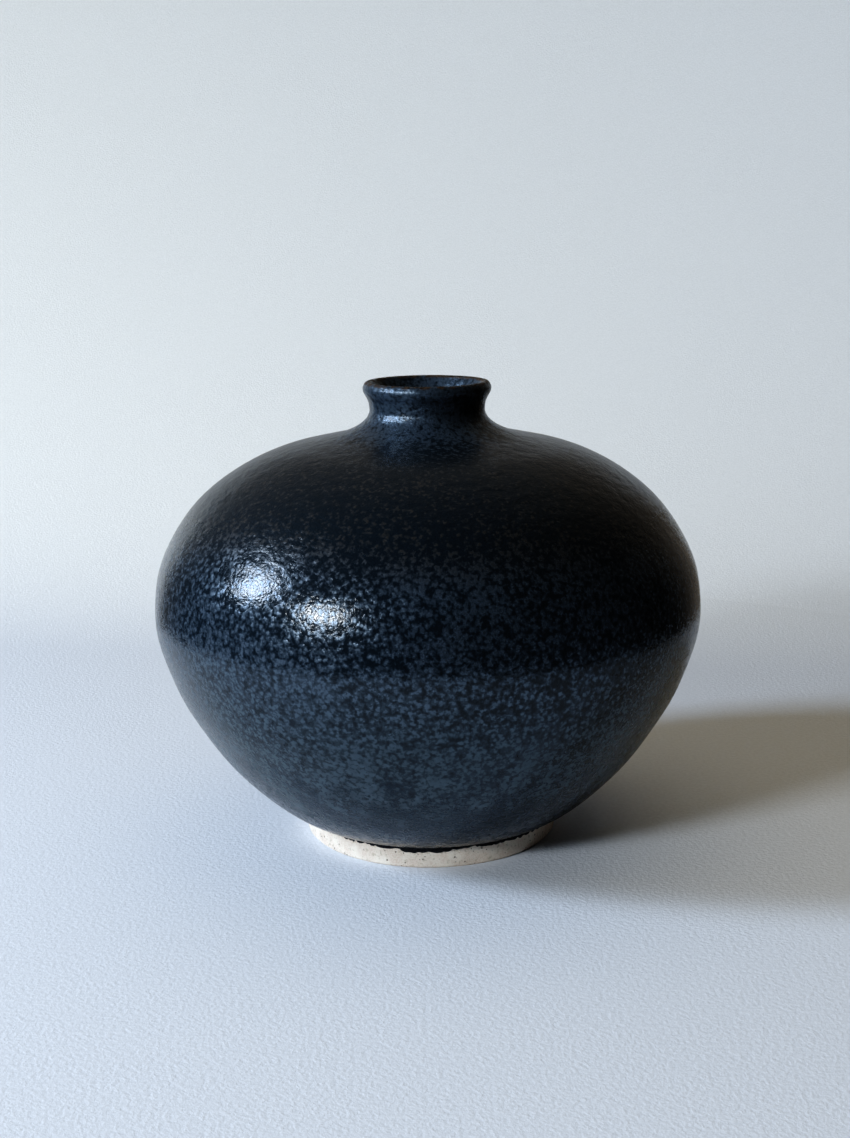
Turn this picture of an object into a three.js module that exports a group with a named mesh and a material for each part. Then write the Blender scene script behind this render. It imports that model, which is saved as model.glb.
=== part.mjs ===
// A squat glazed bottle vase. Every piece is turned about the +Z axis, in millimetres,
// and the pot rests on z = 0 with the origin at the centre of its foot.
// The clay is thrown in sections that are luted together with slip: a foot ring, a lower bowl,
// an upper bowl and a neck collar. One coat of glaze covers the outside and laps over the lip,
// and another lines the inside.
import * as THREE from "three";

// Foot, measured on the bare clay.
const FOOT_RADIUS = 39.8; // outside of the foot ring
const FOOT_HEIGHT = 7; // where the body springs from the foot ring
const FOOT_WIDTH = 6.4; // ring width at its resting face, with both chamfers
const FOOT_TAPER = 1.2; // how much wider the ring is at its top, on the inside
const FOOT_CHAMFER = 0.6; // on both edges of the resting face

// Clay outline above the foot. Each rise is counted from the level before it.
const BELLY_RADIUS = 84.15;
const BELLY_RISE = 66.5; // foot to widest level
const SHOULDER_RISE = 50.15; // widest level to the root of the neck
const NECK_RADIUS = 16.87; // outside of the neck at its waist
const NECK_RISE = 10.55; // root of the neck to its waist
const ROOT_SPREAD = 18.45; // how far the root stands out from the waist
const LIP_RISE = 6.5; // waist to the edge of the lip
const LIP_FLARE = 2; // how far the lip stands out from the waist

// How each curve of the outline leaves a level: its angle and how hard it pulls.
const UNDERSIDE_ANGLE = 25.8; // degrees above level, at the foot
const UNDERSIDE_PULL = 26.5;
const BELLY_PULL_DOWN = 20.2;
const BELLY_PULL_UP = 24.7;
const ROOT_ANGLE = 9.65; // degrees above level, where shoulder and neck meet
const ROOT_PULL_OUT = 28.2;
const ROOT_PULL_IN = 19.2;
const WAIST_PULL_DOWN = 0.9;
const WAIST_PULL_UP = 2.8;
const LIP_ANGLE = 70; // degrees above level, at the lip
const LIP_PULL = 2.2;

// Wall, floor, slip and glaze.
const WALL = 5; // bowl walls
const NECK_WALL = 3; // wall at the waist of the neck
const LIP_WALL = 1.5; // wall at the lip, which is rounded over
const FLOOR = 6;
const FLOOR_SWEEP = 6; // height over which the floor sweeps up into the wall
const SLIP = 0.6; // layer of slip between two sections
const GLAZE = 0.55; // layer of glaze
const CLEARANCE = 0.3; // between any two pieces that touch

// Seams and edges of glaze.
const BELLY_SEAM_DROP = 12; // below the widest level
const BELLY_SEAM_STEP = 3; // the lower bowl's tongue rises this far inside the upper bowl
const NECK_SEAM_RISE = 5.8; // above the root of the neck
const GLAZE_LINE = 5.5; // lower edge of the outer glaze, on the foot ring
const MOUTH_SEAM_DROP = 9; // below the edge of the lip, where outer and inner glaze meet

const SIDES = 36; // flats round the pot

const JOINT = SLIP + 2 * CLEARANCE; // from one clay section to the next

// ---------------------------------------------------------------- lines in the (radius, height) plane

const at = (radius, height) => new THREE.Vector2(radius, height);

// A point some distance from another, at an angle above level in degrees.
function reach(from, angle, distance) {
  const turn = THREE.MathUtils.degToRad(angle);
  return at(from.x + distance * Math.cos(turn), from.y + distance * Math.sin(turn));
}

// A smooth curve between two points that leaves and arrives at the given angles.
function sweep(start, startAngle, startPull, end, endAngle, endPull, steps) {
  const leave = reach(start, startAngle, startPull);
  const arrive = reach(end, endAngle, -endPull);
  return new THREE.CubicBezierCurve(start, leave, arrive, end).getPoints(steps);
}

// For each point of a line, the step to its right that moves the whole line sideways by one.
function sidesteps(line) {
  const normals = line.slice(1).map((point, i) => {
    const run = point.clone().sub(line[i]).normalize();
    return at(run.y, -run.x);
  });
  return line.map((_, i) => {
    const before = normals[Math.max(i - 1, 0)];
    const after = normals[Math.min(i, normals.length - 1)];
    return before.clone().add(after).divideScalar(1 + before.dot(after));
  });
}

// The line moved to its right by a distance, or by one distance for each point.
function offset(line, distance) {
  const steps = sidesteps(line);
  return line.map((point, i) =>
    point.clone().addScaledVector(steps[i], Array.isArray(distance) ? distance[i] : distance),
  );
}

// The point of a rising line at a height.
function pointAt(line, height) {
  const i = Math.max(1, line.findIndex((point) => point.y >= height));
  const share = (height - line[i - 1].y) / (line[i].y - line[i - 1].y);
  return line[i - 1].clone().lerp(line[i], share);
}

// The stretch of a rising line between two heights.
function stretch(line, low, high) {
  const inside = line.filter((point) => point.y > low && point.y < high);
  return [pointAt(line, low), ...inside, pointAt(line, high)];
}

const backwards = (line) => [...line].reverse();

// ---------------------------------------------------------------- outline of the clay

const bellyHeight = FOOT_HEIGHT + BELLY_RISE;
const rootHeight = bellyHeight + SHOULDER_RISE;
const waistHeight = rootHeight + NECK_RISE;

const corner = at(FOOT_RADIUS, FOOT_HEIGHT);
const belly = at(BELLY_RADIUS, bellyHeight);
const root = at(NECK_RADIUS + ROOT_SPREAD, rootHeight);
const waist = at(NECK_RADIUS, waistHeight);
const lipEdge = at(NECK_RADIUS + LIP_FLARE, waistHeight + LIP_RISE);

// The outside, from the corner over the foot to the edge of the lip, as four curves,
// each with the wall that it starts and ends with.
const UP = 90;
const curves = [
  [sweep(corner, UNDERSIDE_ANGLE, UNDERSIDE_PULL, belly, UP, BELLY_PULL_DOWN, 9), WALL, WALL],
  [sweep(belly, UP, BELLY_PULL_UP, root, 180 - ROOT_ANGLE, ROOT_PULL_OUT, 9), WALL, WALL],
  [sweep(root, 180 - ROOT_ANGLE, ROOT_PULL_IN, waist, UP, WAIST_PULL_DOWN, 5), WALL, NECK_WALL],
  [sweep(waist, UP, WAIST_PULL_UP, lipEdge, LIP_ANGLE, LIP_PULL, 3), NECK_WALL, LIP_WALL],
];

const outside = [corner];
const walls = [WALL];
for (const [points, startWall, endWall] of curves) {
  points.slice(1).forEach((point, i) => {
    outside.push(point);
    walls.push(THREE.MathUtils.lerp(startWall, endWall, (i + 1) / (points.length - 1)));
  });
}

// The rounded lip, from the outside over to the inside.
const lipRadius = LIP_WALL / 2;
const lipCentre = offset(outside, -lipRadius).at(-1);
const lipStart = lipEdge.clone().sub(lipCentre).angle();
const lip = new THREE.EllipseCurve(
  lipCentre.x, lipCentre.y, lipRadius, lipRadius, lipStart, lipStart + Math.PI,
).getPoints(6);

// The inside, from the centre of the floor up to the lip.
const seat = FOOT_HEIGHT + JOINT / 2;
const floorCentre = at(0, seat + FLOOR);
const innerWall = offset(outside, walls.map((wall) => -wall));
const wallStart = innerWall.findIndex((point) => point.y > floorCentre.y + FLOOR_SWEEP);
const wallRun = innerWall[wallStart + 1].clone().sub(innerWall[wallStart]);
const wallAngle = THREE.MathUtils.radToDeg(wallRun.angle());
const floorPull = innerWall[wallStart].x / 2;
const inside = [
  ...sweep(floorCentre, 0, floorPull, innerWall[wallStart], wallAngle, FLOOR_SWEEP, 5),
  ...innerWall.slice(wallStart + 1),
];

// ---------------------------------------------------------------- seams

// A seam is a cut through the wall from outside to inside. A stepped seam rises at mid-wall.
// Lift moves the whole cut up, and its riser outwards, away from the seam's middle.
function seam(height, step, lift) {
  const middle = (pointAt(outside, height).x + pointAt(inside, height).x) / 2 + lift;
  const low = height + lift;
  const high = low + step;
  const riser = step ? [at(middle, low), at(middle, high)] : [];
  return [pointAt(outside, low), ...riser, pointAt(inside, high)];
}

// A closed outline between two cuts, going up the outside and down the inside.
function between(bottom, top) {
  return closed([
    ...stretch(outside, bottom[0].y, top[0].y),
    ...top.slice(1, -1),
    ...backwards(stretch(inside, bottom.at(-1).y, top.at(-1).y)),
    ...backwards(bottom.slice(1, -1)),
  ]);
}

const closed = (points) => [...points, points[0].clone()];

const bellySeam = (lift) => seam(bellyHeight - BELLY_SEAM_DROP, BELLY_SEAM_STEP, lift);
const neckSeam = (lift) => seam(rootHeight + NECK_SEAM_RISE, 0, lift);

// The edge that a section shows to its seam, below or above the slip.
const UNDER = -JOINT / 2;
const OVER = JOINT / 2;

// ---------------------------------------------------------------- pieces

function footRing() {
  const top = FOOT_HEIGHT - JOINT / 2;
  const bore = FOOT_RADIUS - FOOT_WIDTH;
  return closed([
    at(bore + FOOT_CHAMFER, 0),
    at(FOOT_RADIUS - FOOT_CHAMFER, 0),
    at(FOOT_RADIUS, FOOT_CHAMFER),
    at(FOOT_RADIUS, top),
    at(bore - FOOT_TAPER, top),
    at(bore, FOOT_CHAMFER),
  ]);
}

function footSlip() {
  const low = FOOT_HEIGHT - SLIP / 2;
  const high = FOOT_HEIGHT + SLIP / 2;
  const bore = FOOT_RADIUS - FOOT_WIDTH - FOOT_TAPER;
  return closed([
    at(bore, low),
    at(FOOT_RADIUS, low),
    at(FOOT_RADIUS, FOOT_HEIGHT),
    pointAt(outside, high),
    at(bore, high),
  ]);
}

function lowerBowl() {
  const top = bellySeam(UNDER);
  return [
    at(0, seat),
    ...stretch(outside, seat, top[0].y),
    ...top.slice(1, -1),
    ...backwards(inside.filter((point) => point.y < top.at(-1).y).concat([top.at(-1)])),
  ];
}

function neckCollar() {
  const bottom = neckSeam(OVER);
  return closed([
    ...stretch(outside, bottom[0].y, lipEdge.y),
    ...lip.slice(1),
    ...backwards(stretch(inside, bottom.at(-1).y, inside.at(-1).y)).slice(1),
  ]);
}

// Both coats follow one line over the clay: up the outside, over the lip and down the inside.
const mouthSeamHeight = lipEdge.y - MOUTH_SEAM_DROP;
const mouthGap = CLEARANCE / 2;

function coat(line) {
  return [...offset(line, CLEARANCE + GLAZE), ...backwards(offset(line, CLEARANCE))];
}

function outerGlaze() {
  const mouth = stretch(inside, mouthSeamHeight + mouthGap, inside.at(-1).y);
  return closed(coat([
    at(FOOT_RADIUS, GLAZE_LINE),
    ...outside,
    ...lip.slice(1),
    ...backwards(mouth).slice(1),
  ]));
}

function innerGlaze() {
  const lining = [floorCentre, ...stretch(inside, floorCentre.y, mouthSeamHeight - mouthGap).slice(1)];
  const skin = coat(backwards(lining));
  const half = skin.length / 2;
  skin[half - 1].x = 0;
  skin[half].x = 0;
  return [...skin.slice(half), ...skin.slice(0, half)];
}

// ---------------------------------------------------------------- materials and assembly

const stoneware = new THREE.MeshStandardMaterial({ color: 0xd8cbb4, roughness: 0.85, metalness: 0 });
const slip = new THREE.MeshStandardMaterial({ color: 0xc7b69b, roughness: 0.9, metalness: 0 });
const glaze = new THREE.MeshStandardMaterial({ color: 0x10151f, roughness: 0.25, metalness: 0 });
const lining = new THREE.MeshStandardMaterial({ color: 0x151a24, roughness: 0.3, metalness: 0 });

function turned(name, profile, material) {
  const mesh = new THREE.Mesh(new THREE.LatheGeometry(profile, SIDES), material);
  mesh.name = name;
  return mesh;
}

const clay = new THREE.Group();
clay.add(
  turned("foot_ring", footRing(), stoneware),
  turned("lower_bowl", lowerBowl(), stoneware),
  turned("upper_bowl", between(bellySeam(OVER), neckSeam(UNDER)), stoneware),
  turned("neck_collar", neckCollar(), stoneware),
);

const luting = new THREE.Group();
luting.add(
  turned("foot_slip_joint", footSlip(), slip),
  turned("belly_slip_joint", between(bellySeam(-SLIP / 2), bellySeam(SLIP / 2)), slip),
  turned("neck_slip_joint", between(neckSeam(-SLIP / 2), neckSeam(SLIP / 2)), slip),
);

const coats = new THREE.Group();
coats.add(turned("outer_glaze", outerGlaze(), glaze), turned("inner_glaze", innerGlaze(), lining));

// A lathe turns its profile about +Y, so the whole pot is tipped up to stand on +Z.
const pot = new THREE.Group();
pot.add(clay, luting, coats);
pot.rotation.x = Math.PI / 2;

const vase = new THREE.Group();
vase.add(pot);

export default vase;
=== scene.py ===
"""A squat bottle vase in mottled blue-black glaze over pale stoneware, on a sweep of paper."""

import math

import bmesh
import bpy
import numpy as np
from mathutils import Euler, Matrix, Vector


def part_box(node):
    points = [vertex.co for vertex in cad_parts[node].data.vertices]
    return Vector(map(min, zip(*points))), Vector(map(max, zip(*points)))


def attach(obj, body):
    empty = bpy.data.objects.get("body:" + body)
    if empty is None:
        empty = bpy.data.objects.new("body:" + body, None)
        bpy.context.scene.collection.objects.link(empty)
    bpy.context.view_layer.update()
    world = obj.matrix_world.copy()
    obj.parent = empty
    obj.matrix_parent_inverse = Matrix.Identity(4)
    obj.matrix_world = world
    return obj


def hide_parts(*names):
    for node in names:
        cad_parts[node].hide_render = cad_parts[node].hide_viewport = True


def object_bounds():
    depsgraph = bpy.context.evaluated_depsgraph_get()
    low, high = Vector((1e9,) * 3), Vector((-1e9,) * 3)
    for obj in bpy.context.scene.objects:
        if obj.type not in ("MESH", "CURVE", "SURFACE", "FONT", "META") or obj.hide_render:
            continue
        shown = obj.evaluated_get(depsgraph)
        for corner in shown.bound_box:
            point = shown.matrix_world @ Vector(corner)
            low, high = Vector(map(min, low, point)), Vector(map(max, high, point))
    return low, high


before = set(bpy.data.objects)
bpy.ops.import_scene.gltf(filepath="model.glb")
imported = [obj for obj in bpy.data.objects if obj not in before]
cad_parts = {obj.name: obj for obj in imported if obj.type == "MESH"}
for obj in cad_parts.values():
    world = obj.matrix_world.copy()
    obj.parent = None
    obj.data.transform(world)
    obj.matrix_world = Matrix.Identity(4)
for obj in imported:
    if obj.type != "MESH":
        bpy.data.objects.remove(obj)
cad_low, cad_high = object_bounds()

MM = 0.001
BODY = "root"
CAD_SIDES = 36  # flats round each CAD piece
STRAIGHT = math.radians(0.2)  # an outline that turns less than this at a point is straight there
CORNER = math.radians(38)  # and one that turns more has a corner
FINEST = math.radians(6)  # a smooth curve turns at most this much at a point
SCENE = bpy.context.scene

# Sizes of the pot in mm, from the frame.
TOP = cad_high.z / MM  # height of the pot
BELLY = (cad_high.x - cad_low.x) / 2 / MM  # its largest radius
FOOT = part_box("foot_ring")[1].x / MM  # outside radius of the foot
GLAZE_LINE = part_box("outer_glaze")[0].z / MM  # lower edge of the outer glaze
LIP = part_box("neck_collar")[1].x / MM  # outside radius at the lip
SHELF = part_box("lower_bowl")[0].z / MM  # underside of the bowl, inside the foot ring

# Heights in mm at which the look of the glaze changes.
SHOULDER = 100  # where the belly turns in to the shoulder
NECK = 124  # the root of the neck


# ---------------------------------------------------------------- camera

def make_camera():
    """Stands in front of the pot and looks a little down on it. Lens and sensor are in mm."""
    data = bpy.data.cameras.new("camera")
    data.sensor_width = 36
    data.lens = 49.7
    camera = bpy.data.objects.new("camera", data)
    SCENE.collection.objects.link(camera)
    camera.location = (-1.15 * MM, -482 * MM, 191.3 * MM)
    pitch = math.radians(12.6)
    roll = math.radians(-0.6)
    aim = Euler((math.pi / 2 - pitch, 0, 0)).to_matrix()
    camera.rotation_euler = (aim @ Euler((0, 0, roll)).to_matrix()).to_euler()
    SCENE.camera = camera


# ---------------------------------------------------------------- outlines, in mm, from the CAD pieces

def section(node):
    """The outline of a turned CAD piece as (radius, height) points, anticlockwise, and whether
    it is an open line that starts and ends on the axis."""
    half = math.pi / CAD_SIDES  # a cut at mid-flat is this far round from the corners
    along = Vector((math.cos(half), math.sin(half), 0))
    across = Vector((-along.y, along.x, 0))
    cut = bmesh.new()
    cut.from_mesh(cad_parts[node].data)
    bmesh.ops.remove_doubles(cut, verts=cut.verts, dist=1e-6)
    for normal, drop in ((along, True), (across, False)):
        made = bmesh.ops.bisect_plane(
            cut, geom=[*cut.verts, *cut.edges, *cut.faces], plane_co=(0, 0, 0),
            plane_no=normal, clear_inner=drop, dist=1e-7,
        )
    joined = {}
    for edge in made["geom_cut"]:
        if isinstance(edge, bmesh.types.BMEdge):
            a, b = edge.verts
            joined.setdefault(a, []).append(b)
            joined.setdefault(b, []).append(a)
    ends = sorted((v for v in joined if len(joined[v]) == 1), key=lambda v: v.co.z)
    here = ends[0] if ends else next(iter(joined))
    line = [here]
    while onward := [v for v in joined[here] if v not in line]:
        here = onward[0]
        line.append(here)
    points = np.array([(v.co.dot(along) / math.cos(half), v.co.z) for v in line]) / MM
    cut.free()
    if ends:
        points[[0, -1], 0] = 0
    r, z = points.T
    if np.sum(r * np.roll(z, -1) - np.roll(r, -1) * z) < 0:
        points = points[::-1]
    bends = np.abs(turning(points))
    bends[[0, -1]] += 1 if ends else 0
    return points[bends > STRAIGHT], bool(ends)


def turning(points):
    """How far the closed line through the points turns at each of them, in radians."""
    ahead = np.roll(points, -1, axis=0) - points
    angle = np.arctan2(ahead[:, 1], ahead[:, 0])
    turn = angle - np.roll(angle, 1)
    return (turn + math.pi) % (2 * math.pi) - math.pi


def curve_through(points, spacing):
    """A smooth line through points (a centripetal Catmull-Rom curve), with a step of about the
    spacing, and shorter where it bends."""
    before = 2 * points[0] - points[1]
    after = 2 * points[-1] - points[-2]
    p = np.vstack([before, points, after])
    knots = np.concatenate([[0], np.cumsum(np.sqrt(np.hypot(*np.diff(p, axis=0).T)))])
    bend = np.concatenate([[0], np.abs(turning(points))[1:-1], [0]])
    line = [points[0]]
    for i in range(1, len(p) - 2):
        k = knots[i - 1 : i + 3]
        run = np.hypot(*(p[i + 1] - p[i]))
        turn = max(bend[i - 1], bend[i])
        steps = max(1, math.ceil(run / spacing), math.ceil(turn / FINEST))
        for t in np.linspace(k[1], k[2], steps + 1)[1:]:
            a = [between(t, k[j], k[j + 1], p[i - 1 + j], p[i + j]) for j in range(3)]
            b = [between(t, k[j], k[j + 2], a[j], a[j + 1]) for j in range(2)]
            line.append(between(t, k[1], k[2], b[0], b[1]))
    return np.array(line)


def between(t, low, high, start, end):
    """The point at t on a straight line that is at start at low, and at end at high."""
    return ((high - t) * start + (t - low) * end) / (high - low)


def trimmed(line, start, end):
    """The line without a length at its start and at its end."""
    reach = np.concatenate([[0], np.cumsum(np.hypot(*np.diff(line, axis=0).T))])
    keep = (reach > start + 1e-6) & (reach < reach[-1] - end - 1e-6)
    ends = [[np.interp(s, reach, line[:, k]) for k in (0, 1)] for s in (start, reach[-1] - end)]
    return np.vstack([ends[:1], line[keep], ends[1:]])


def eased(points, is_open, spacing, edge=0.15, fillet=0.15):
    """The outline with its curves made smooth, its corners rounded by edge and its inner
    corners by fillet, all in mm."""
    corner = np.abs(turning(points)) > CORNER
    if is_open:
        corner[[0, -1]] = True
    else:
        first = int(np.argmax(corner))
        points, corner = np.roll(points, -first, axis=0), np.roll(corner, -first)
        points, corner = np.vstack([points, points[:1]]), np.append(corner, True)
    hollow = turning(points[:-1] if not is_open else points) < 0
    at = np.flatnonzero(corner)
    runs = [points[a : b + 1] for a, b in zip(at[:-1], at[1:])]
    lengths = [np.hypot(*np.diff(run, axis=0).T).sum() for run in runs]
    cuts = []
    for k in range(len(at)):
        near = min(lengths[k - 1], lengths[k % len(runs)])
        size = fillet if hollow[at[k] % len(hollow)] else edge
        cuts.append(0 if is_open and k in (0, len(at) - 1) else min(size, 0.4 * near))
    made = []
    for k, run in enumerate(runs):
        line = trimmed(curve_through(run, spacing), cuts[k], cuts[k + 1])
        if made and cuts[k]:
            made.append(bridge(made[-1][-1], run[0], line[0]))
        made.append(line)
    if not is_open:
        made.append(bridge(made[-1][-1], runs[0][0], made[0][0]))
    return np.vstack(made)


def bridge(start, corner, end, steps=4):
    """The points between two ends on a small curve that rounds the corner."""
    t = np.linspace(0, 1, steps + 1)[1:-1, None]
    return (1 - t) ** 2 * start + 2 * t * (1 - t) * corner + t**2 * end


# ---------------------------------------------------------------- turned meshes

def turned(name, line, is_open, columns, shape=None):
    """A closed mesh made by turning an outline about the axis. shape(angle, r, z) may move it."""
    r, z = line.T
    if is_open:
        r, z = r[1:-1], z[1:-1]
    angle = np.linspace(0, 2 * math.pi, columns, endpoint=False)
    rr, zz, aa = r[:, None] + 0 * angle, z[:, None] + 0 * angle, 0 * r[:, None] + angle
    if shape:
        rr, zz = shape(aa, rr, zz)
    points = np.stack([rr * np.cos(aa), rr * np.sin(aa), zz], axis=-1).reshape(-1, 3)
    rows = len(r)
    here = np.arange(rows * columns).reshape(rows, columns)
    if not is_open:
        here = np.vstack([here, here[:1]])
    beside = np.roll(here, -1, axis=1)
    faces = np.stack([here[:-1], beside[:-1], beside[1:], here[1:]], axis=-1).reshape(-1, 4).tolist()
    if is_open:
        low, high = len(points), len(points) + 1
        ends = [[0, 0, zz[0].mean()], [0, 0, zz[-1].mean()]]
        points = np.vstack([points, ends])
        faces += [[low, b, a] for a, b in zip(here[0].tolist(), beside[0].tolist())]
        faces += [[high, a, b] for a, b in zip(here[-1].tolist(), beside[-1].tolist())]
    mesh = bpy.data.meshes.new(name)
    mesh.from_pydata((points * MM).tolist(), [], faces)
    mesh.shade_smooth()
    piece = bpy.data.objects.new(name, mesh)
    SCENE.collection.objects.link(piece)
    return piece


def waves(angle, turns, size, seed):
    """A wandering height round the pot: one wave for each number of turns, with seeded phases."""
    phase = np.random.default_rng(seed).uniform(0, 2 * math.pi, len(turns))
    scale = size / math.sqrt(len(turns) / 2)
    return scale * sum(np.cos(n * angle + p) for n, p in zip(turns, phase))


def step(value, low, high):
    """0 below low, 1 above high, and a smooth rise between."""
    t = np.clip((value - low) / (high - low), 0, 1)
    return t * t * (3 - 2 * t)


def out_of_round(angle, r, z):
    """Hand-thrown: the pot is a hair oval, its belly swells and shrinks by turns with height, and
    sits a little to one side of the foot. Gives the new radius."""
    level = z / TOP * 2 * math.pi
    oval = waves(angle, (2, 3), 0.16, 5) * np.clip(z / 20, 0, 1) * np.clip(r / 40, 0, 1)
    drift = 0.1 * np.sin(7 * level + 1.5 * np.sin(angle)) * np.clip((r - 30) / 40, 0, 1)
    lean = -0.4 * np.cos(angle) * step(r, 45, 75)
    return r + oval + drift + lean


def ridge(distance, width):
    """A smooth ridge, 1 high where the distance is 0 and almost gone at twice the width."""
    return np.exp(-((distance / width) ** 2))


def glaze_shape(angle, r, z):
    """Gives the outer coat its ragged lower edge, with the thick roll where it stopped running,
    and a lip that is round and full."""
    # Two sizes of scallops wander round the foot, and the edge rises and falls. All in mm.
    lobes = 0.9 * np.abs(np.cos(14 * angle + waves(angle, (3, 5, 8), 3.4, 11))) ** 0.6
    lobes += 0.6 * np.abs(np.cos(33 * angle + waves(angle, (4, 7, 13), 3.6, 12))) ** 0.6
    edge = GLAZE_LINE + 1.5 - lobes + waves(angle, (2, 5, 9), 0.35, 13)
    share = np.clip((SHELF - z) / (SHELF - GLAZE_LINE), 0, 1)
    low = SHELF - share * (SHELF - edge)
    moved = np.where(z < SHELF, low, z)

    # The coat thins over the foot, and ends in a roll. Only its outer face moves.
    outer = step(r, FOOT + 0.45, FOOT + 0.75) * (z < SHELF + 2)
    roll = 0.30 * ridge(moved - edge - 0.40, 0.38)
    thin = 0.42 * (1 - step(moved, edge + 0.8, SHELF + 1.5))

    # The lip is fuller below its edge, and narrower at its crest.
    full = 0.25 * ridge(TOP - 3.4 - z, 1.2) * (r > LIP - 2.5)
    crest = 0.28 * ridge(TOP - 0.9 - z, 0.9) * (r > LIP - 0.6)
    return out_of_round(angle, r, z) + outer * (roll - thin) + full - crest, moved


def clay_shape(angle, r, z):
    """Only a little out of round, like the whole pot."""
    return out_of_round(angle, r, z), z


def recess_shape(angle, r, z):
    """Trimming marks on the underside of the bowl, inside the foot ring."""
    under = (z < SHELF + 0.3) * (r < FOOT - 8)
    spiral = 0.12 * np.sin(2 * math.pi * r / 3.1 + angle)
    spiral += 0.06 * np.sin(2 * math.pi * r / 1.3 + 2 * angle)
    dish = 0.5 * step(r, 30, 6)
    return out_of_round(angle, r, z), z + under * (dish + spiral * step(r, 0, 6))


def foot_shape(angle, r, z):
    """Fine turning lines and small dents on the wall of the foot, fading out at its resting edge."""
    wall = np.clip(z, 0, 1)
    lines = 0.035 * np.sin(2 * math.pi * z / 0.9 + waves(angle, (1, 2), 0.8, 21))
    dents = waves(angle, (9, 14, 23, 37), 0.05, 22)
    return r + wall * (lines + dents), z


# ---------------------------------------------------------------- materials

class Graph:
    """A material's nodes, each added with its inputs as numbers or as other nodes' outputs."""

    def __init__(self, name):
        self.material = bpy.data.materials.new(name)
        self.material.use_nodes = True
        self.tree = self.material.node_tree
        self.tree.nodes.clear()
        place = self.add("TexCoord").outputs["Object"]
        self.place = self.add("VectorMath", {0: place, "Scale": 1 / MM}, operation="SCALE").outputs[0]
        self.height = self.add("SeparateXYZ", {0: self.place}).outputs["Z"]

    def add(self, kind, inputs=None, **settings):
        node = self.tree.nodes.new("ShaderNode" + kind)
        for key, value in settings.items():
            setattr(node, key, value)
        for key, value in (inputs or {}).items():
            if isinstance(value, bpy.types.NodeSocket):
                self.tree.links.new(value, node.inputs[key])
            else:
                node.inputs[key].default_value = value
        return node

    def plus(self, a, b):
        return self.add("Math", {0: a, 1: b}, operation="ADD").outputs[0]

    def minus(self, a, b):
        return self.add("Math", {0: a, 1: b}, operation="SUBTRACT").outputs[0]

    def times(self, a, b):
        return self.add("Math", {0: a, 1: b}, operation="MULTIPLY").outputs[0]

    def noise(self, size, detail=2.0, rough=0.5, at=None, stretch=None):
        """Cloudy noise around 0.5, with features of about the size in mm."""
        return self.clouds(size, detail, rough, at, stretch).outputs[0]

    def clouds(self, size, detail, rough=0.5, at=None, stretch=None):
        """The noise's node, which gives its height and three more heights as a colour."""
        at = at or self.place
        if stretch:
            at = self.add("VectorMath", {0: at, 1: stretch}, operation="MULTIPLY").outputs[0]
        inputs = {"Vector": at, "Scale": 1 / size, "Detail": detail, "Roughness": rough}
        return self.add("TexNoise", inputs)

    def cells(self, size, at=None):
        """The distance from the middle of the nearest of many cells, 0 at the middle."""
        inputs = {"Vector": at or self.place, "Scale": 1 / size, "Randomness": 1.0}
        return self.add("TexVoronoi", inputs).outputs["Distance"]

    def rise(self, value, low, high, start=0.0, end=1.0):
        """start below low, end above high, smooth between."""
        inputs = {"Value": value, "From Min": low, "From Max": high, "To Min": start, "To Max": end}
        return self.add("MapRange", inputs, interpolation_type="SMOOTHSTEP").outputs[0]

    def blend(self, factor, a, b):
        """A colour between a and b."""
        return self.add("Mix", {0: factor, 6: a, 7: b}, data_type="RGBA").outputs[2]

    def warped(self, size, amount):
        """The place, pushed about by noise by up to the amount in mm."""
        push = self.clouds(size, detail=1.0).outputs["Color"]
        middle = (0.5, 0.5, 0.5)
        centred = self.add("VectorMath", {0: push, 1: middle}, operation="SUBTRACT").outputs[0]
        scaled = self.add("VectorMath", {0: centred, "Scale": amount * 2}, operation="SCALE").outputs[0]
        return self.add("VectorMath", {0: self.place, 1: scaled}, operation="ADD").outputs[0]

    def bump(self, height, depth, normal=None):
        """Relief of the given depth in mm."""
        inputs = {"Height": height, "Strength": 1.0, "Distance": depth * MM}
        if normal:
            inputs["Normal"] = normal
        return self.add("Bump", inputs).outputs[0]

    def finish(self, **inputs):
        """The finished material, from a surface with the given inputs."""
        shader = self.add("BsdfPrincipled", {k.replace("_", " "): v for k, v in inputs.items()})
        self.add("OutputMaterial", {"Surface": shader.outputs[0]})
        return self.material


def colour(r, g, b):
    """An opaque colour, in linear light."""
    return (r, g, b, 1.0)


def crystal_cover(g, streaks):
    """How far crystals cover the outer glaze, from 0 to 1: thick on the neck and low on the belly,
    sparse on the shoulder, and drawn out in runs near the foot."""
    z = g.height
    cells = g.cells(1.7, at=g.warped(1.1, 0.6))
    grain = g.plus(g.times(g.noise(0.9), 0.6), g.minus(0.42, g.times(cells, 0.42)))

    # They grow where the grain is above this level. A higher level leaves fewer of them.
    start = g.minus(0.52, g.times(g.minus(g.noise(14), 0.5), 0.20))
    start = g.plus(start, g.rise(z, 25, 95, -0.055, 0.075))
    start = g.plus(start, g.rise(z, SHOULDER - 4, SHOULDER + 14, 0, 0.11))
    start = g.plus(start, g.rise(z, NECK, NECK + 5, 0, -0.19))
    runs = g.times(g.minus(streaks, 0.5), g.rise(z, 62, 34, 0, 0.45))
    start = g.minus(start, runs)
    cover = g.rise(g.minus(grain, start), -0.20, 0.19)
    return g.times(cover, g.rise(g.noise(2.4, detail=1), 0.35, 0.65, 0.62, 1.0))


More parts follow.
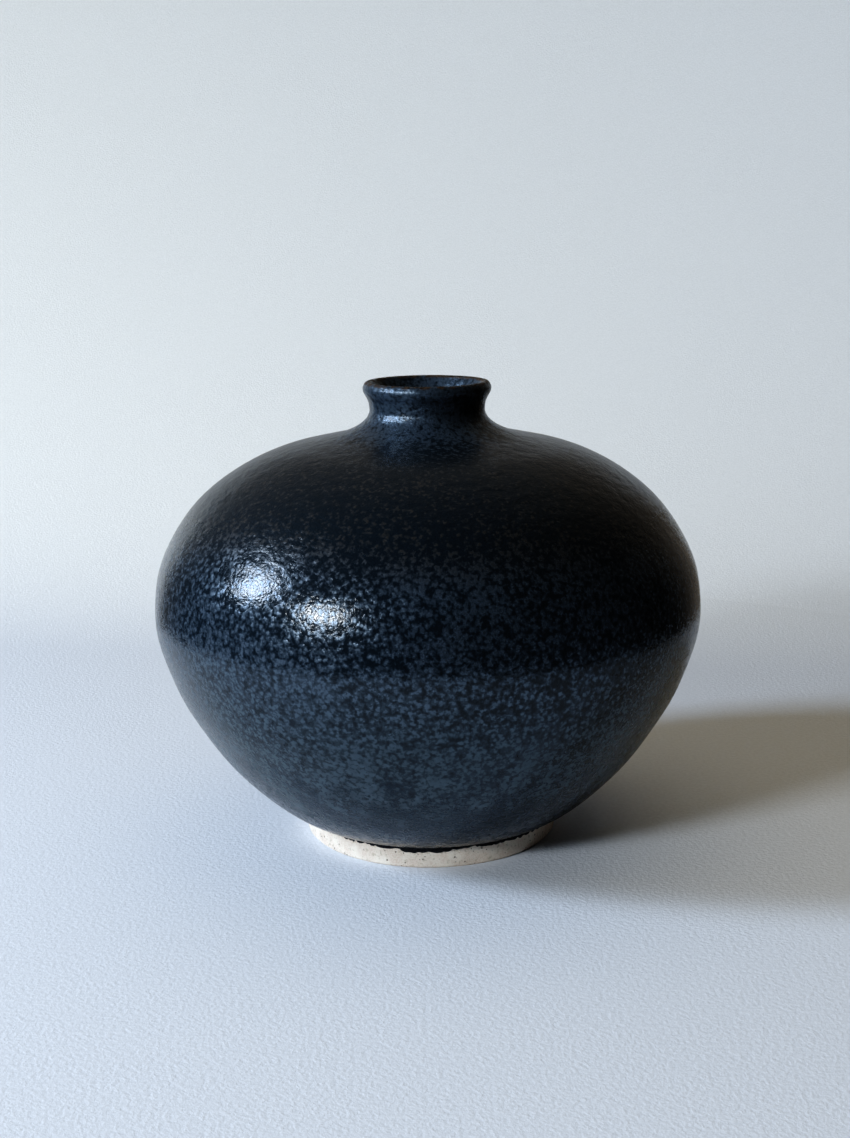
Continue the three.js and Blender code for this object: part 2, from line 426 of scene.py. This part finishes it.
def outside_glaze():
    """Black glass crowded with blue-grey satin crystals, greyer on the shoulder, and running
    smooth and slaty near the foot."""
    g = Graph("mottled_glaze")
    z = g.height
    black = colour(0.009, 0.014, 0.019)
    low_blue, blue = colour(0.080, 0.108, 0.128), colour(0.118, 0.153, 0.196)
    grey = colour(0.095, 0.090, 0.086)
    slate, dark_slate = colour(0.010, 0.018, 0.026), colour(0.005, 0.009, 0.014)
    brown, grey_brown = colour(0.060, 0.042, 0.030), colour(0.045, 0.040, 0.036)
    edge_black = colour(0.006, 0.005, 0.005)

    streaks = g.noise(7, detail=3, stretch=(1, 1, 0.22))
    crystals = crystal_cover(g, streaks)
    on_shoulder = g.times(g.rise(z, SHOULDER - 8, SHOULDER + 8), g.rise(z, NECK + 4, NECK - 4))
    crystal = g.blend(on_shoulder, g.blend(g.rise(z, 40, 80), low_blue, blue), grey)
    coat = g.blend(crystals, black, crystal)

    # Near the foot the glaze ran: crystals melt into one slaty coat with darker streaks.
    melted = g.rise(g.plus(z, g.times(g.minus(streaks, 0.5), 60)), 43, 20)
    run = g.blend(g.rise(streaks, 0.35, 0.6), slate, dark_slate)
    coat = g.blend(g.times(melted, 0.9), coat, run)

    # It broke brown where it is thin: on the crest of the lip and just over the foot.
    worn = g.rise(g.noise(2.5, detail=3), 0.38, 0.55)
    crest = g.times(g.rise(z, TOP - 1.0, TOP - 0.35), worn)
    foot = g.times(g.rise(z, SHELF + 1.2, SHELF - 0.4), 0.55)
    coat = g.blend(crest, coat, brown)
    coat = g.blend(foot, coat, grey_brown)
    coat = g.blend(g.rise(z, GLAZE_LINE + 1.7, GLAZE_LINE + 1.1), coat, edge_black)

    glass = g.rise(z, SHOULDER - 8, SHOULDER + 12, 0.15, 0.32)
    rough = g.add("Mix", {0: crystals, 2: glass, 3: 0.40}, data_type="FLOAT").outputs[0]
    rough = g.plus(rough, g.times(crest, 0.2))
    metal = g.times(crystals, g.rise(z, 20, 70, 0.2, 0.95))
    metal = g.times(metal, g.minus(1.0, melted))

    wrinkles = g.noise(4.5, detail=3, stretch=(1, 1, 2.4))
    wrinkles = g.times(wrinkles, g.rise(z, 84, 106, 0.08, 1.0))
    normal = g.bump(g.noise(3.2, detail=1), 0.05)
    normal = g.bump(wrinkles, 0.32, normal)
    normal = g.bump(crystals, 0.035, normal)
    normal = g.bump(g.noise(0.7), 0.07, normal)
    return g.finish(Base_Color=coat, Metallic=metal, Roughness=rough, Normal=normal, IOR=1.36)


def inside_glaze():
    """The lining: darker, thinner and smoother than the outside, with faint crystals."""
    g = Graph("lining_glaze")
    black, blue = colour(0.004, 0.006, 0.010), colour(0.030, 0.044, 0.066)
    grain = g.noise(1.4, detail=3, rough=0.6, at=g.warped(3, 0.8))
    crystals = g.rise(grain, 0.5, 0.6)
    coat = g.blend(crystals, black, blue)
    rough = g.rise(crystals, 0, 1, 0.2, 0.4)
    normal = g.bump(g.noise(3.5, detail=1), 0.05)
    return g.finish(Base_Color=coat, Roughness=rough, Normal=normal, IOR=1.52)


def bare_clay():
    """Unglazed pale stoneware: sandy and blotched pink, with stains and small iron pits."""
    g = Graph("bare_stoneware")
    pink, cream = colour(0.67, 0.54, 0.43), colour(0.80, 0.71, 0.59)
    pale, olive, iron = colour(0.86, 0.79, 0.69), colour(0.42, 0.36, 0.24), colour(0.10, 0.06, 0.035)
    sand = g.noise(0.42, detail=3, rough=0.65)
    stains = g.rise(g.noise(1.1, detail=3), 0.56, 0.70)
    pits = g.times(g.rise(g.cells(1.5), 0.24, 0.14), g.rise(g.noise(1.6, detail=0), 0.48, 0.54))
    body = g.blend(g.rise(g.noise(5, detail=3), 0.35, 0.65), pink, cream)
    body = g.blend(g.times(g.rise(sand, 0.35, 0.62), 0.6), body, pale)
    body = g.blend(g.times(stains, 0.55), body, olive)
    body = g.blend(g.times(pits, 0.85), body, iron)
    normal = g.bump(sand, 0.10)
    normal = g.bump(g.times(pits, -1.0), 0.12, normal)
    return g.finish(Base_Color=body, Roughness=0.86, Normal=normal, IOR=1.45)


def dried_slip():
    """Slip between two sections: the same clay, finer and a little darker."""
    g = Graph("fired_slip")
    body = g.blend(g.noise(4, detail=3), colour(0.50, 0.42, 0.33), colour(0.62, 0.55, 0.45))
    return g.finish(Base_Color=body, Roughness=0.9, Normal=g.bump(g.noise(0.25), 0.04), IOR=1.45)


# ---------------------------------------------------------------- pieces

def dress(piece, node, material):
    """Gives a piece its material and its body, and hides its CAD node."""
    piece.data.materials.append(material)
    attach(piece, BODY)
    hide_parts(node)


def make_pieces():
    """One visible piece for each CAD piece, turned from the same outline."""
    clay, slip = bare_clay(), dried_slip()
    plan = [
        # name, CAD node, slot, material, columns, spacing in mm, fillet in mm, shape
        ("outer_glaze_coat", "outer_glaze", "outer_glaze", outside_glaze(), 360, 1.5, 1.2, glaze_shape),
        ("inner_glaze_coat", "inner_glaze", "inner_glaze", inside_glaze(), 180, 3, 0.15, clay_shape),
        ("foot_ring_clay", "foot_ring", "bare_stoneware", clay, 360, 0.35, 0.15, foot_shape),
        ("lower_bowl_clay", "lower_bowl", "bare_stoneware", clay, 240, 1.0, 0.15, recess_shape),
        ("upper_bowl_clay", "upper_bowl", "bare_stoneware", clay, 180, 3, 0.15, clay_shape),
        ("neck_collar_clay", "neck_collar", "bare_stoneware", clay, 144, 1, 0.15, clay_shape),
        ("foot_joint_slip", "foot_slip_joint", "fired_slip", slip, 180, 1, 0.1, clay_shape),
        ("belly_joint_slip", "belly_slip_joint", "fired_slip", slip, 180, 1, 0.1, clay_shape),
        ("neck_joint_slip", "neck_slip_joint", "fired_slip", slip, 144, 1, 0.1, clay_shape),
    ]
    for name, node, slot, material, columns, spacing, fillet, shape in plan:
        points, is_open = section(node)
        line = eased(points, is_open, spacing, fillet=fillet)
        dress(turned(name, line, is_open, columns, shape), node, material)


# ---------------------------------------------------------------- setting

FLAT = 330  # mm: how far the paper lies flat round the pot
BEND = 800  # mm: the radius of the curve in which it rises
HIGH = 1500  # mm: how high it goes
COLUMNS = 96  # steps round each sheet


def paper():
    """Pale watercolour paper."""
    g = Graph("paper")
    tooth = g.noise(1.3, detail=3, rough=0.6)
    sheet = g.blend(g.rise(tooth, 0.3, 0.7), colour(0.74, 0.78, 0.84), colour(0.80, 0.84, 0.90))
    return g.finish(Base_Color=sheet, Roughness=0.9, Normal=g.bump(tooth, 0.25), IOR=1.3)


def sweep(name, start, end, low, high, material):
    """A sheet of paper round the pot from one bearing to another, curving up from floor to wall,
    between two heights in mm."""
    turns = np.linspace(0, math.pi / 2, 31)
    curve = [(FLAT + BEND * math.sin(a), BEND - BEND * math.cos(a)) for a in turns]
    line = [(r, z) for r, z in [*curve, (FLAT + BEND, HIGH)] if low <= z <= high]
    points, faces = [], []
    for bearing in np.linspace(start, end, COLUMNS + 1):
        points += [tuple(toward(bearing, 0) * (r * MM) + Vector((0, 0, z * MM))) for r, z in line]
    for i in range(COLUMNS):
        for j in range(len(line) - 1):
            k = i * len(line) + j
            faces.append((k, k + len(line), k + len(line) + 1, k + 1))
    mesh = bpy.data.meshes.new(name)
    mesh.from_pydata(points, [], faces)
    mesh.shade_smooth()
    mesh.materials.append(material)
    sheet = bpy.data.objects.new(name, mesh)
    SCENE.collection.objects.link(sheet)
    sheet.visible_shadow = False
    return sheet


def table(material):
    """The flat part of the paper, a disc that reaches a little way under the foot of the sweep."""
    edge = (FLAT + 6) * MM
    rim = [tuple(toward(b, 0) * edge) for b in np.linspace(-180, 180, COLUMNS, endpoint=False)]
    mesh = bpy.data.meshes.new("paper_floor")
    mesh.from_pydata(rim, [], [tuple(range(COLUMNS))])
    mesh.materials.append(material)
    floor = bpy.data.objects.new("paper_floor", mesh)
    SCENE.collection.objects.link(floor)


def toward(bearing, height):
    """The way to a bearing in degrees, 0 at the camera's side and rising to the right."""
    a, e = math.radians(bearing), math.radians(height)
    return Vector((math.sin(a) * math.cos(e), -math.cos(a) * math.cos(e), math.sin(e)))


def window(name, way, aim, distance, size, power, tint):
    """A soft rectangular light that stands the distance away from the point it lights. The way
    leads from that point to the light. Lengths are in m, and the power is in watts."""
    light = bpy.data.lights.new(name, "AREA")
    light.shape = "RECTANGLE"
    light.size, light.size_y = size
    light.energy = power
    light.color = tint
    lamp = bpy.data.objects.new(name, light)
    SCENE.collection.objects.link(lamp)
    lamp.location = Vector(aim) + way * distance
    lamp.rotation_euler = (-way).to_track_quat("-Z", "Y").to_euler()
    lamp.visible_camera = False
    return lamp


def make_room():
    """A dark room that is dimly and warmly lit behind the paper."""
    world = bpy.data.worlds.new("room")
    world.use_nodes = True
    tree = world.node_tree
    way = tree.nodes.new("ShaderNodeTexCoord").outputs["Generated"]
    toward_glow = tree.nodes.new("ShaderNodeVectorMath")
    toward_glow.operation = "DOT_PRODUCT"
    toward_glow.inputs[1].default_value = toward(180, 25)
    tree.links.new(way, toward_glow.inputs[0])

    # The glow's strength rises from its edge, where that product is 0.28, to its middle.
    glow = tree.nodes.new("ShaderNodeMapRange")
    glow.interpolation_type = "SMOOTHSTEP"
    for key, value in {"From Min": 0.28, "From Max": 0.92, "To Min": 0.012, "To Max": 0.25}.items():
        glow.inputs[key].default_value = value
    tree.links.new(toward_glow.outputs["Value"], glow.inputs["Value"])
    background = tree.nodes["Background"]
    background.inputs["Color"].default_value = (1.0, 0.90, 0.78, 1)
    tree.links.new(glow.outputs["Result"], background.inputs["Strength"])
    SCENE.world = world


def make_paper():
    """The paper under and round the pot. The pot mirrors only what is low and behind it, and a
    dark room elsewhere."""
    sheet = paper()
    table(sheet)
    right, left = 150, 224  # the bearings between which the pot mirrors the paper
    height, overlap = 430, 30  # mm: how high it does, and how far the next sheet reaches down
    sweep("paper_behind", right, left, 0, height, sheet)
    beyond = [
        sweep("paper_above", right, left, height - overlap, HIGH, sheet),
        sweep("paper_in_front", left - 360, right, 0, HIGH, sheet),
    ]
    for far in beyond:
        far.visible_glossy = False
        far.visible_diffuse = False


def make_lights():
    """Two windows on the left, a weak ceiling, and a light on the wall behind."""
    middle = (0, 0, BELLY * MM)
    blue, pale_blue = (0.66, 0.80, 1.0), (0.86, 0.93, 1.0)
    warm, ivory = (1.0, 0.84, 0.56), (1.0, 0.98, 0.80)
    window("big_window", toward(-81, 26), middle, 1.3, (0.22, 0.34), 15.2, blue)
    window("small_window", toward(-43, 19), middle, 1.3, (0.24, 0.15), 10.5, pale_blue)
    ceiling = window("ceiling", toward(0, 90), middle, 1.6, (2.0, 2.0), 6.0, warm)
    ceiling.visible_glossy = False
    back = Vector((-0.15, -1.0, 0.0)).normalized()
    window("wall_light", back, (-0.35, 1.1, 0.45), 0.85, (1.2, 0.5), 2.7, ivory)


def set_view():
    """Deepens the shadows a little, as a camera does."""
    view = SCENE.view_settings
    view.view_transform = "Standard"
    view.use_curve_mapping = True
    toe = view.curve_mapping.curves[3].points
    for light, shown in ((0.02, 0.0065), (0.055, 0.033), (0.13, 0.115), (0.3, 0.3)):
        toe.new(light, shown)  # from a light level to the level shown
    view.curve_mapping.update()


make_camera()
make_pieces()
make_paper()
make_lights()
make_room()
set_view()
